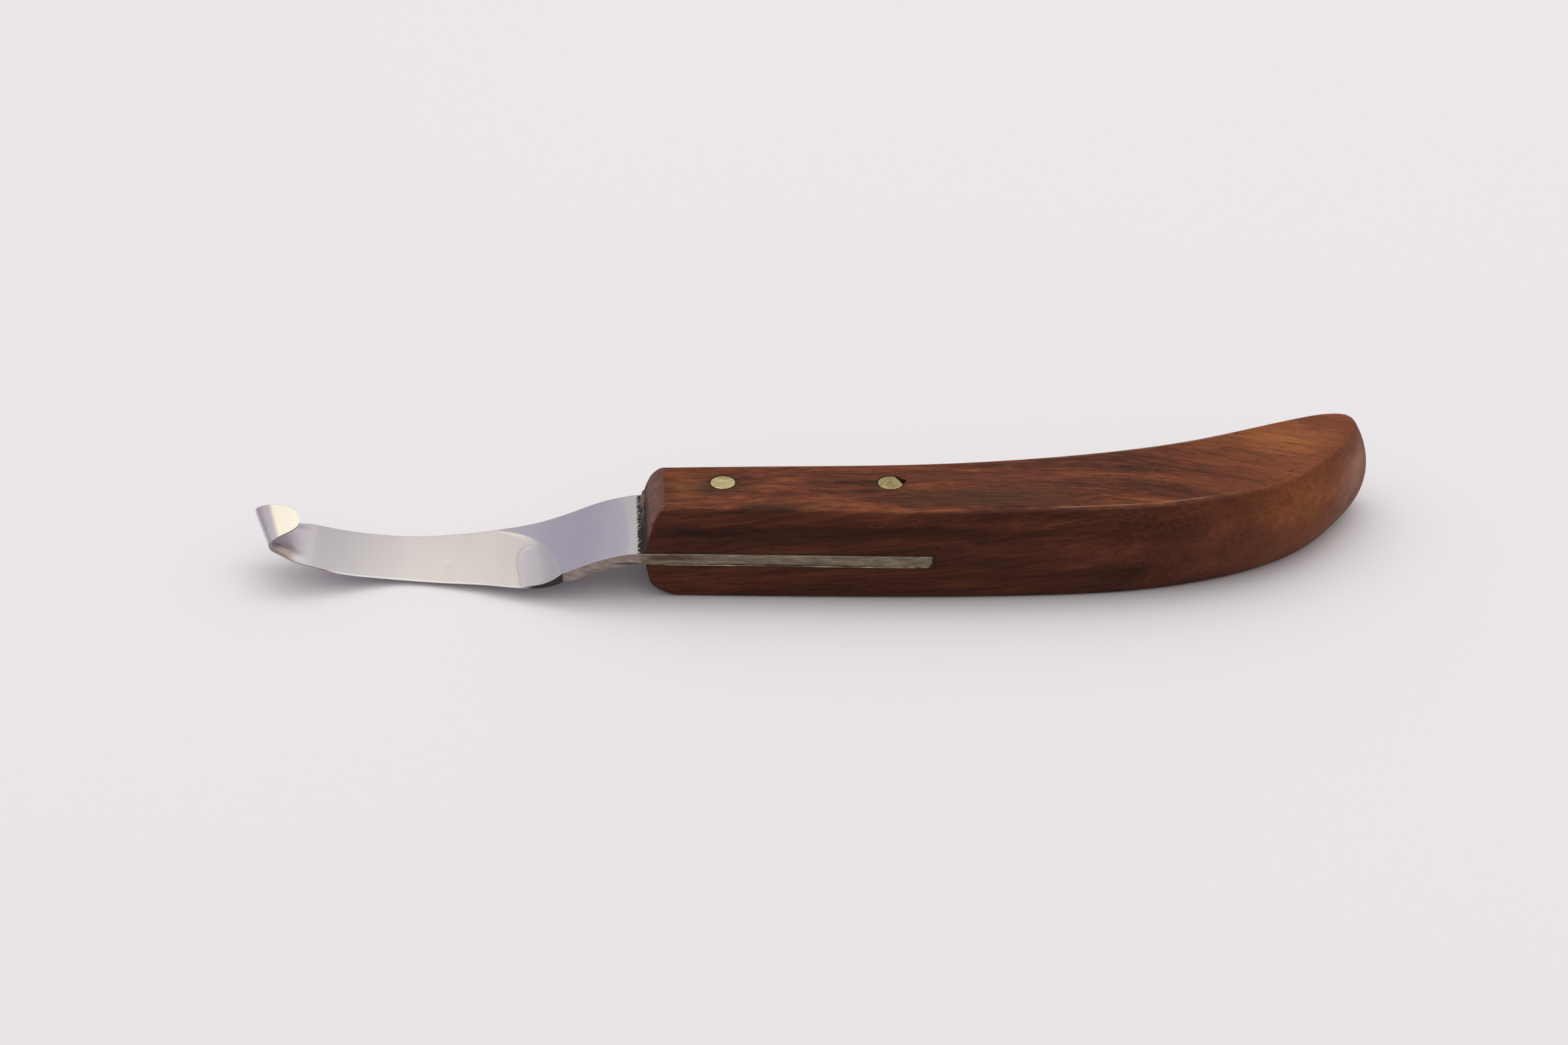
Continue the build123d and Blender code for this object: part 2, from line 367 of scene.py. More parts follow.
# The long edges in plan.
NEAR_EDGE = [
    (TANG_END, -13.2), (-3, -12.8), (-30, -12.4), (-37, -12.5), (-44, -12.6), (-49, -12.3),
    (-54, -11.4), (-61, -9.1), (-68, -7.4), (-76, -6.35), (-82.7, -7.25), (-88, -8.55), (HOOK_ROOT, -9.4),
]
FAR_EDGE = [
    (TANG_END, 10.85), (-3, 10.1), (-33, 9.4), (-44, 9.6), (-52, 9.5), (-60, 8.8), (-68, 8.35),
    (-77.9, 7.47), (-87.5, 5.31), (HOOK_ROOT, 3.81),
]
# Thickness left at the near edge.
EDGE_THICKNESS = [
    (THIN_START, 2.48), (-43.3, 2.3), (-45.5, 1.9), (-48, 1.15), (-50, 0.75), (-52, 0.5), (-54.5, 0.3),
    (-62, 0.22), (HOOK_ROOT, 0.24),
]
# Where the grind starts at the crank, as y and x across the strip.
PLUNGE = [
    (-13.5, -45.6), (-11.3, -45.9), (-7.3, -46.8), (-3.3, -48.2), (-0.6, -49.4), (2.1, -50.9),
    (4.1, -52.4), (5.7, -54.1), (7.8, -57.6), (9.6, -62),
]
# How wide the step down at that line is, as y and width.
PLUNGE_WIDTH = [(-12.5, 4.2), (-6, 3.2), (8, 1.6)]
GRIND_DROP = 1.0
# The underside rises to the near edge over this width.
BEVEL_WIDTH = 4.2
# The upper face has closer columns over this width beside that edge.
TOP_BEVEL = 1.8
# The scoop ground behind the plunge line near the edge: its outline as y and distance behind.
SCOOP = [
    (-14, 7.9), (-9, 7.7), (-5.8, 7.3), (-2.1, 6.3), (-0.3, 5.3), (1.2, 4), (1.9, 2.9), (2.1, 1.7),
    (1.9, 0.8), (1.3, 0),
]
SCOOP_DEPTH = 0.05
SCOOP_BORDER = 1.2
# A small dent in the belly.
DENT_X = -68.3
DENT_Y = -1.5
DENT_DEPTH = 0.03
# The two sides of the rolled hook, from the strip's root round to the tongue's free end.
HOOK_NEAR = [
    (-96.7, -9.2, 6.98), (-99.1, -8.85, 8.22), (-100.7, -8.75, 9.6), (-100.65, -8.5, 10.4),
    (-99.75, -7.65, 10.95), (-98.4, -6.55, 11.2), (-97, -5.2, 11.2), (-96, -3.5, 11.2),
    (-95.7, -2.3, 11.25),
]
HOOK_FAR = [
    (-98.5, 3.8, 7.15), (-102.5, 3.85, 8.15), (-104.8, 3.75, 9.4), (-104.85, 3.85, 10.45),
    (-103.45, 3.8, 11.4), (-100.8, 3.65, 11.75), (-98.35, 2.85, 11.72), (-96.7, 1.3, 11.6),
    (-95.9, -0.7, 11.4),
]
# The rolled steel's thickness, what is left of it at its edges, and how far in it has thinned.
HOOK_THICKNESS = 1.0
HOOK_EDGE = 0.24
HOOK_BEVEL = 2.6
# The strip's shape, lie and thickness turn into the hook's over these lengths.
SHAPE_BLEND = 9
LIE_BLEND = 3.5
THICKNESS_BLEND = 7
# How far the steel's long edges are softened, and less so where the tang lies in the handle.
CORNER = 0.14
TANG_CORNER = 0.05
CORNER_GROWS = (-29, -33)

# The tang's free end: its rounded lower corner, how fully it is rounded and how far above the
# middle that fades out, and where its rough edges start.
TANG_ROUNDING = 1.3
ROUNDED_SHARE = 0.9
ROUNDED_ABOVE = 0.6
ROUGH_START = 14
ROUGH_FULL = 18
ROUGHNESS = 0.16

TOP_COLUMNS = 65
UNDER_COLUMNS = 29
# Rows along the strip from its free end: where each stretch of them ends, and how many it has.
STRIP_ROWS = [(ROUGH_START, 29), (-28, 39), (-60, 83), (HOOK_ROOT, 63)]
HOOK_ROWS = 112
# Points round one long edge: two corners of four points and three between them.
EDGE_POINTS = 11


def strip_edges(x):
    """The near and far edges' y at x."""
    return along(NEAR_EDGE, x), along(FAR_EDGE, x)


def plunge_x(y):
    """The x at which the grind starts at y."""
    return spline(*np.array(PLUNGE).T, np.clip(y, PLUNGE[0][0], PLUNGE[-1][0]))


def behind_plunge(x, y):
    """How far a point lies past the line where the grind starts, towards the hook."""
    return plunge_x(y) - x


def ground_share(x, y):
    """0 on the strip's own surface, rising to 1 beyond the plunge line."""
    width = np.interp(y, *zip(*PLUNGE_WIDTH))
    t = np.clip(behind_plunge(x, y) / width, 0, 1)
    return 1 - (1 - t) ** 2


def inside_scoop(x, y):
    """How far a point lies inside the scoop's outline; negative outside it."""
    past = behind_plunge(x, y)
    line = smooth_path(SCOOP, np.linspace(0, 1, 60))
    nearest = np.full(np.shape(x), np.inf)
    for a, b in zip(line[:-1], line[1:]):
        way = b - a
        share = np.clip(((y - a[0]) * way[0] + (past - a[1]) * way[1]) / (way @ way), 0, 1)
        away = np.hypot(y - a[0] - share * way[0], past - a[1] - share * way[1])
        nearest = np.minimum(nearest, away)
    top = int(np.argmax(line[:, 0]))
    left = np.interp(y, line[: top + 1, 0], line[: top + 1, 1])
    right = np.interp(y, line[top:, 0][::-1], line[top:, 1][::-1])
    inside = (y < line[top, 0]) & (past < left) & ((past > right) | (y < line[-1, 0]))
    return np.minimum(np.where(inside, nearest, -nearest), past)


def top_height(x, y):
    """The upper face's height, with the grind, the scoop and the dent."""
    near, far = strip_edges(x)
    across = np.clip((far - y) / (far - near), 0, 1)
    drop = GRIND_DROP * (0.8 * across + 0.2 * across**2) * ground_share(x, y)
    scoop = SCOOP_DEPTH * ramp(0, SCOOP_BORDER, inside_scoop(x, y))
    dent = DENT_DEPTH * np.exp(-((x - DENT_X) ** 2 + (y - DENT_Y) ** 2 / 3) / 0.35)
    return along(STRIP_TOP, x) - drop - scoop - dent


def edge_thickness(x):
    """How thick the strip is at its near edge."""
    thin = along(EDGE_THICKNESS, np.clip(x, HOOK_ROOT, THIN_START))
    return np.where(x > THIN_START, along(STRIP_THICKNESS, x), thin)


def under_height(x, y):
    """The lower face's height, rising in a bevel to the near edge."""
    near, far = strip_edges(x)
    across = np.clip((far - y) / (far - near), 0, 1)
    tilt = np.where(x < TILT_START, along(UNDER_TILT, np.clip(x, HOOK_ROOT, TILT_START)), 0)
    flat = along(STRIP_TOP, x) - along(STRIP_THICKNESS, x) - tilt * across
    flat_at_edge = flat - tilt * (1 - across)
    rise = top_height(x, near) - edge_thickness(x) - flat_at_edge
    return flat + rise * np.clip(1 - (y - near) / BEVEL_WIDTH, 0, 1)


def strip_row(u, shares):
    """Plan positions along one row of the strip; rows near the crank follow the plunge line."""
    follow = ramp(CRANK_START, CRANK_END, u) * (1 - ramp(CRANK_END, HOOK_ROOT, u))
    x = np.full(len(shares), float(u))
    # x and y depend on each other, and a few passes settle them.
    for _ in range(6):
        near, far = strip_edges(x)
        y = far + (near - far) * shares
        x = u + follow * (plunge_x(y) - plunge_x(near))
    return x, y


def column_shares(width, count, bevel):
    """Shares across a row from the far edge, closer together at both edges and over the bevel."""
    close = [0.25, 0.7]
    from_near = [0, *close, bevel / 2, bevel]
    inner = np.linspace(1 - bevel / width, 0.7 / width, count - 6)[1:]
    shares = np.concatenate([1 - np.array(from_near) / width, inner, [0.25 / width, 0]])
    return shares[::-1]


def strip_section(u):
    """The upper and lower rows of points across the strip, from the far edge to the near one."""
    width = float(np.subtract(*strip_edges(np.array([float(u)]))[::-1])[0])
    tops = strip_row(u, column_shares(width, TOP_COLUMNS, TOP_BEVEL))
    unders = strip_row(u, column_shares(width, UNDER_COLUMNS, BEVEL_WIDTH))
    top = np.column_stack([*tops, top_height(*tops)])
    under = np.column_stack([*unders, under_height(*unders)])
    return top, under


def hook_sections():
    """Rows round the hook: a ruled outer face between its two sides, and the face inside it."""
    lead = np.array([-82.0, -88.0, HOOK_ROOT])
    near, far = strip_edges(lead)
    sides = []
    for edge, points in ((near, HOOK_NEAR), (far, HOOK_FAR)):
        root = np.column_stack([lead, edge, under_height(lead, edge)])
        sides.append(np.vstack([root, points]))
    knots = sum(lengths_along(side) for side in sides) / 2
    root_at, end_at = knots[2], knots[-1]
    q = np.linspace(0, 1, HOOK_ROWS)
    at = root_at + (end_at - root_at) * (1 - (1 - q) ** 1.6)
    near_side, far_side = (spline(knots, side, at) for side in sides)
    width = np.linalg.norm(near_side - far_side, axis=1)
    from_root, to_end = at - root_at, end_at - at
    top_rows, under_rows = [], []
    faces = (TOP_COLUMNS, TOP_BEVEL, top_rows), (UNDER_COLUMNS, BEVEL_WIDTH, under_rows)
    for count, bevel, rows in faces:
        reach = np.minimum(bevel, 0.3 * width)
        shares = np.array([column_shares(max(w, HOOK_BEVEL), count, b) for w, b in zip(width, reach)])
        outer = far_side[:, None] + (near_side - far_side)[:, None] * shares[..., None]
        x, y = strip_row(HOOK_ROOT, shares[0])
        level = under_height(x, y) - outer[0, :, 2]
        start = ramp(0, SHAPE_BLEND, from_root)[:, None]
        run = np.gradient(outer, axis=0)
        across = near_side - far_side
        normal = np.cross(across[:, None], run)
        normal /= np.linalg.norm(normal, axis=2)[..., None]
        normal *= np.sign(normal[0, 0, 2])
        upwards = np.array([0.0, 0.0, 1.0])
        way = upwards + (normal - upwards) * ramp(0, LIE_BLEND, from_root)[:, None, None]
        way /= np.linalg.norm(way, axis=2)[..., None]
        outer = outer + way * (level * (1 - start))[..., None]
        if rows is under_rows:
            rows.extend(outer)
            continue
        root = top_height(x, y) - under_height(x, y)
        from_side = np.minimum(shares, 1 - shares) * width[:, None]
        from_edge = np.minimum(from_side, to_end[:, None])
        rolled = HOOK_EDGE + (HOOK_THICKNESS - HOOK_EDGE) * ramp(0, HOOK_BEVEL, from_edge)
        thickness = root + (rolled - root) * ramp(0, THICKNESS_BLEND, from_root)[:, None]
        rows.extend(outer + way * thickness[..., None])
    return list(zip(top_rows, under_rows))


def section_loop(top, under, softened=CORNER):
    """One closed row round the steel: across the top, down the near edge, under it and back up."""

    def corner(before, tip, after):
        reach = min(softened, 0.45 * np.linalg.norm(before - tip), 0.3 * np.linalg.norm(after - tip))
        a = tip + (before - tip) * reach / np.linalg.norm(before - tip)
        b = tip + (after - tip) * reach / np.linalg.norm(after - tip)
        return [a, bezier(a, tip, b, 0.33), bezier(a, tip, b, 0.67), b]

    def side(tip, foot):
        return [tip + (foot - tip) * t for t in (0.35, 0.5, 0.65)]

    near_top, near_foot = top[-1], under[-1]
    far_top, far_foot = top[0], under[0]
    loop = [
        *top[1:-1],
        *corner(top[-2], near_top, near_foot),
        *side(near_top, near_foot),
        *corner(near_top, near_foot, under[-2]),
        *under[1:-1][::-1],
        *corner(under[1], far_foot, far_top),
        *side(far_foot, far_top),
        *corner(far_foot, far_top, top[1]),
    ]
    return np.array(loop)


def shape_tang_end(row):
    """Rounds the tang's lower rear corner and roughens the edges that show on the handle's side."""
    x, z = row[:, 0], row[:, 2]
    rough = np.array([noise.noise(Vector((a * 0.9, 3.1 * b, SEED))) for a, _, b in row])
    worn = ramp(ROUGH_START, ROUGH_FULL, x)
    z += worn * rough * ROUGHNESS * np.sign(z - MIDDLE)
    corner = np.clip(x - (TANG_END - TANG_ROUNDING), 0, None)
    lift = TANG_ROUNDING - np.sqrt(np.clip(TANG_ROUNDING**2 - corner**2, 0, None))
    share = np.clip((MIDDLE + ROUNDED_ABOVE - z) / (TANG_THICKNESS / 2 + ROUNDED_ABOVE), 0, 1)
    z += lift * share * ROUNDED_SHARE


def make_blade():
    rows = [TANG_END]
    for end, count in STRIP_ROWS:
        rows.extend(np.linspace(rows[-1], end, count + 1)[1:])
    # The last row is the hook's first.
    rows.pop()
    loops = []
    for u in rows:
        softened = TANG_CORNER + (CORNER - TANG_CORNER) * ramp(*CORNER_GROWS, u)
        loop = section_loop(*strip_section(u), softened)
        if u > ROUGH_START:
            shape_tang_end(loop)
        loops.append(loop)
    loops += [section_loop(top, under) for top, under in hook_sections()]
    blade = tube_piece("blade_steel", loops, 38)
    # The numbers that the steel's material reads, at each point.
    around = len(loops[0])
    top_end = TOP_COLUMNS - 2
    under_end = top_end + EDGE_POINTS + UNDER_COLUMNS - 2
    zones = {
        "near_side": (top_end + 1, top_end + EDGE_POINTS - 1),
        "under_side": (top_end + EDGE_POINTS - 1, under_end + 1),
        "far_side": (under_end + 1, under_end + EDGE_POINTS - 1),
    }
    for name, (first, end) in zones.items():
        inside = np.zeros(around)
        inside[first:end] = 1
        store(blade, name, np.tile(inside, len(loops)))
    rolled = np.repeat(np.arange(len(loops)) >= len(rows), around)
    x, y, _ = np.vstack(loops).T
    store(blade, "rolled", rolled)
    store(blade, "behind_plunge", np.where(rolled, 60, behind_plunge(x, y)))
    store(blade, "inside_scoop", np.where(rolled, -9, inside_scoop(x, y)))
    return blade


blade = make_blade()
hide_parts("blade")
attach(blade, "root")


# ---- pins ----

PIN_EDGE = 0.12
PIN_TURNS = 96
HEAD_UNEVEN = 0.02
# How far below its face the rear pin is filed to a point, and the rings of points in each face.
HEAD_DEPTH = 1.2
HEAD_RINGS = (0.8, 0.55, 0.3)
# The rear pin's point: how far its tip reaches, and the angles of the tip and of its two ends.
TIP_REACH = PIN_RADIUS * 1.05
TIP_ANGLE = math.radians(-16)
FLANK_ANGLE = math.radians(66)
LOW_ANGLE = math.radians(-60)
FLANK_BULGE = 0.1


def pin_outline(angle, pointed):
    """The pin's radius at an angle; the rear one was filed to a blunt point towards the butt."""
    if not pointed:
        return PIN_RADIUS
    if TIP_ANGLE < angle < FLANK_ANGLE:
        tip, flank, way = (Vector((math.cos(a), math.sin(a))) for a in (TIP_ANGLE, FLANK_ANGLE, angle))
        across = flank * PIN_RADIUS - tip * TIP_REACH
        reach = TIP_REACH * tip.cross(across) / way.cross(across)
        return reach + FLANK_BULGE * math.sin(math.pi * (angle - TIP_ANGLE) / (FLANK_ANGLE - TIP_ANGLE))
    if LOW_ANGLE < angle <= TIP_ANGLE:
        return PIN_RADIUS + (TIP_REACH - PIN_RADIUS) * (angle - LOW_ANGLE) / (TIP_ANGLE - LOW_ANGLE)
    return PIN_RADIUS


def make_pin(name, centre, pointed):
    """A pin with softened ends, its filed faces a hair uneven."""
    turns = np.linspace(-math.pi, math.pi, PIN_TURNS, endpoint=False)
    directions = np.column_stack([np.cos(turns), np.sin(turns)])
    head = directions * np.array([pin_outline(a, pointed) for a in turns])[:, None]
    plain = directions * PIN_RADIUS
    levels = [(0, 1 - PIN_EDGE / 2), (PIN_EDGE / 4, 1 - PIN_EDGE / 6), (PIN_EDGE, 1), (HEAD_DEPTH, 1)]
    loops = [(0, plain * share) for share in HEAD_RINGS[::-1]]
    loops += [(depth, plain * share) for depth, share in levels]
    loops += [
        (HEIGHT - depth, (head if depth < HEAD_DEPTH else plain) * share) for depth, share in levels[::-1]
    ]
    loops += [(HEIGHT, head * share) for share in HEAD_RINGS]
    verts = []
    for z, loop in loops:
        for x, y in loop:
            uneven = HEAD_UNEVEN * noise.noise(Vector((x * 0.9, y * 0.9, SEED + z)))
            inwards = -1 if z > MIDDLE else 1
            verts.append((centre.x + x, centre.y + y, z + inwards * abs(uneven)))
    around = len(turns)
    verts += [(centre.x, centre.y, z) for z in (HEAD_UNEVEN / 2, HEIGHT - HEAD_UNEVEN / 2)]
    faces = tube_faces(len(loops), around)
    last = (len(loops) - 1) * around
    for i in range(around):
        j = (i + 1) % around
        faces.append((j, i, len(verts) - 2))
        faces.append((last + i, last + j, len(verts) - 1))
    return mesh_piece(name, verts, faces, 50)


front_pin = make_pin("front_pin_brass", PIN_CENTRES[0], pointed=False)
rear_pin = make_pin("rear_pin_brass", PIN_CENTRES[1], pointed=True)
for pin, node in ((front_pin, "front_pin"), (rear_pin, "rear_pin")):
    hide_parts(node)
    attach(pin, "root")


# ---- adhesive ----

# The bead squeezed out on the tang by the handle: y, reach along the tang and height.
BEAD = [
    (9.3, 0.05, 0.1), (8.9, 0.3, 0.9), (8.0, 0.6, 1.9), (6.9, 0.5, 1.7), (5.8, 0.75, 1.9),
    (4.6, 0.6, 1.5), (3.7, 0.25, 0.7), (3.1, 0.15, 0.4), (2.4, 0.3, 0.8), (1.5, 0.6, 1.6),
    (0.2, 0.7, 1.8), (-1.2, 0.6, 1.4), (-2.2, 0.2, 0.6), (-3.5, 0.1, 0.3), (-6, 0.1, 0.25),
    (-9, 0.1, 0.25), (-11, 0.15, 0.3), (-12.1, 0.1, 0.15),
]
# Its back lies this far inside the kerf and this much higher, and its foot a hair inside the tang.
BEAD_BURIED = 1.2
BEAD_BACK_RISE = 0.2
BEAD_FOOT = TANG_TOP - 0.03
BEAD_ROWS = 150
# The film keeps this much clear of the wood and the pins.
FILM_GAP = 0.01
FILM_INSET = 0.04
PIN_CLEARANCE = 0.02


def make_adhesive():
    """The film above and below the tang, the fill behind its end and the bead at the front."""
    outline = handle_loop(MIDDLE, FILM_INSET)
    film = prism("adhesive_resin", outline, KERF_LOW + FILM_GAP, KERF_HIGH - FILM_GAP)
    tang = [
        (-CUT_SIDE, 0), (TANG_END - 1.2, 0), (TANG_END - 0.5, 0.22), (TANG_END - 0.12, 0.7),
        (TANG_END, 1.3), (TANG_END, TANG_THICKNESS), (-CUT_SIDE, TANG_THICKNESS),
    ]
    foot = TANG_TOP - TANG_THICKNESS
    sides = [[(x, y, z + foot) for x, z in tang] for y in (-CUT_SIDE, CUT_SIDE)]
    tang_cutter = tube_piece("tang_cutter", sides)
    behind = (KERF_END - 0.02, -CUT_SIDE, -CUT_DOWN), (HANDLE_HIGH.x + 1, CUT_SIDE, CUT_UP)
    cuts = [tang_cutter, box_between("behind", *behind)]
    for centre in PIN_CENTRES:
        hole = circle(centre.x, centre.y, PIN_RADIUS + PIN_CLEARANCE, 48)
        cuts.append(prism("pin", hole, -CUT_DOWN, CUT_UP))
    cut_away(film, cuts)

    along_y = np.linspace(BEAD[0][0], BEAD[-1][0], BEAD_ROWS)
    table = np.array(BEAD[::-1])
    reach = np.interp(along_y, table[:, 0], table[:, 1])
    height = np.interp(along_y, table[:, 0], table[:, 2])
    turns = np.linspace(0, math.pi / 2, 12)
    loops = []
    for y, out, up in zip(along_y, reach, height):
        foot = front_x(y, TANG_TOP)
        back = foot + BEAD_BURIED
        loop = [(back, BEAD_FOOT), (back, TANG_TOP + up + BEAD_BACK_RISE)]
        for a in turns:
            crust = 1 + 0.3 * noise.noise(Vector((y, a * 1.2, SEED)))
            crust += 0.12 * noise.noise(Vector((y * 2.6, a * 2.4, SEED + 4)))
            z = TANG_TOP + up * math.cos(a) * crust
            loop.append((front_x(y, z) - out * math.sin(a) * crust, z))
        loop.append((foot - 0.3 * out, BEAD_FOOT))
        loops.append([(x, y, max(z, BEAD_FOOT)) for x, z in loop])
    bead = tube_piece("adhesive_bead", loops, 60)
    return film, bead


film, bead = make_adhesive()
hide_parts("adhesive")
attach(film, "root")
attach(bead, "root")


# ---- materials ----


def linear(red, green, blue):
    """An sRGB colour given as 0 to 255, as the linear colour that shaders take."""
    shares = [c / 255 for c in (red, green, blue)]
    return (*[c / 12.92 if c < 0.04045 else ((c + 0.055) / 1.055) ** 2.4 for c in shares], 1.0)


class Paint:
    """Builds one material. Its methods take numbers, colours or sockets, and give sockets."""

    def __init__(self, name):
        self.material = bpy.data.materials.new(name)
        self.material.use_nodes = True
        self.tree = self.material.node_tree
        self.shader = self.tree.nodes["Principled BSDF"]
        place = self.node("TexCoord").outputs["Object"]
        self.place = self.vector("SCALE", place, Scale=1 / MM)
        self.x, self.y, self.z = self.parts(self.place)
        facing = self.node("NewGeometry").outputs["Normal"]
        self.facing_x, self.facing_y, self.facing_z = self.parts(facing)

    def node(self, kind, **settings):
        made = self.tree.nodes.new("ShaderNode" + kind)
        for name, value in settings.items():
            setattr(made, name, value)
        return made

    def feed(self, socket, value):
        if isinstance(value, bpy.types.NodeSocket):
            self.tree.links.new(value, socket)
        else:
            socket.default_value = value

    def fill(self, made, **named):
        """Feeds a node's inputs by their names, with _ for a space, and gives its first output."""
        for name, value in named.items():
            self.feed(made.inputs[name.replace("_", " ")], value)
        return made.outputs[0]

    def parts(self, vector):
        split = self.node("SeparateXYZ")
        self.feed(split.inputs[0], vector)
        return tuple(split.outputs)

    def join(self, x, y, z):
        combined = self.node("CombineXYZ")
        for socket, value in zip(combined.inputs, (x, y, z)):
            self.feed(socket, value)
        return combined.outputs[0]

    def vector(self, operation, a, b=None, **named):
        made = self.node("VectorMath", operation=operation)
        self.feed(made.inputs[0], a)
        if b is not None:
            self.feed(made.inputs[1], b)
        vector = self.fill(made, **named)
        return made.outputs["Value"] if operation == "LENGTH" else vector

    def calc(self, operation, a, b=0.0):
        made = self.node("Math", operation=operation)
        self.feed(made.inputs[0], a)
        self.feed(made.inputs[1], b)
        return made.outputs[0]

    def fold(self, operation, a, *others):
        """One value from several, two at a time."""
        for b in others:
            a = self.calc(operation, a, b)
        return a

    def plus(self, *terms):
        return self.fold("ADD", *terms)

    def times(self, *factors):
        return self.fold("MULTIPLY", *factors)

    def most(self, *values):
        return self.fold("MAXIMUM", *values)

    def rest(self, share):
        """What is left of 1."""
        return self.calc("SUBTRACT", 1.0, share)

    def step(self, value, low, high, to_low=0.0, to_high=1.0):
        """A smooth change from to_low, where value is low, to to_high, where it is high."""
        made = self.node("MapRange", interpolation_type="SMOOTHSTEP")
        flip = high < low
        ends = (high, low, to_high, to_low) if flip else (low, high, to_low, to_high)
        for socket, number in zip(made.inputs, (value, *ends)):
            self.feed(socket, number)
        return made.outputs[0]

    def noise(self, size, where=None, detail=3.0, rough=0.5, bend=0.0, seed=0.0):
        """Noise from 0 to 1 whose features are about size long on each axis, in millimetres."""
        spread = self.vector("DIVIDE", self.place if where is None else where, size)
        at = self.vector("ADD", spread, (seed, seed * 1.7, -seed))
        made = self.node("TexNoise")
        return self.fill(made, Vector=at, Scale=1, Detail=detail, Roughness=rough, Distortion=bend)

    def wobble(self, size, height, **named):
        """Noise from minus half the height to plus half of it."""
        return self.times(self.plus(self.noise(size, **named), -0.5), height)

    def mix(self, share, a, b):
        made = self.node("Mix", data_type="RGBA")
        for index, value in ((0, share), (6, a), (7, b)):
            self.feed(made.inputs[index], value)
        return made.outputs[2]

    def tint(self, colour, rgb, *shares):
        """The colour with an sRGB colour laid over it, as strongly as the shares' product."""
        return self.mix(self.times(*shares), colour, linear(*rgb))

    def stain(self, rgb, *shares):
        self.colour = self.tint(self.colour, rgb, *shares)

    def shades(self, value, *stops):
        """A colour looked up along stops, each a position and an sRGB colour."""
        made = self.node("ValToRGB")
        table = made.color_ramp.elements
        for _ in stops[2:]:
            table.new(0.5)
        for element, (position, colour) in zip(table, stops):
            element.position = position
            element.color = linear(*colour)
        self.feed(made.inputs[0], value)
        return made.outputs[0]

    def patch(self, centre, reach, soft=0.5, ragged=0.25, grain=3.0):
        """1 inside an ellipsoid with a soft and ragged border, 0 outside it."""
        away = self.vector("DIVIDE", self.vector("SUBTRACT", self.place, centre), reach)
        distance = self.vector("LENGTH", away)
        wobble = self.wobble((grain * 3, grain, grain), ragged * 2, seed=centre[0])
        distance = self.plus(distance, wobble)
        return self.step(distance, 1.0, 1.0 - soft)

    def attribute(self, name):
        return self.node("Attribute", attribute_name=name).outputs["Fac"]

    def bump(self, height, distance, normal=None):
        """A bump whose height, from 0 to 1, stands for distance in millimetres."""
        under = {} if normal is None else {"Normal": normal}
        return self.fill(self.node("Bump"), Distance=distance * MM, Height=height, **under)

    def finish(self, piece, colour, roughness, **named):
        self.fill(self.shader, Base_Color=colour, Roughness=roughness, **named)
        piece.data.materials.clear()
        piece.data.materials.append(self.material)


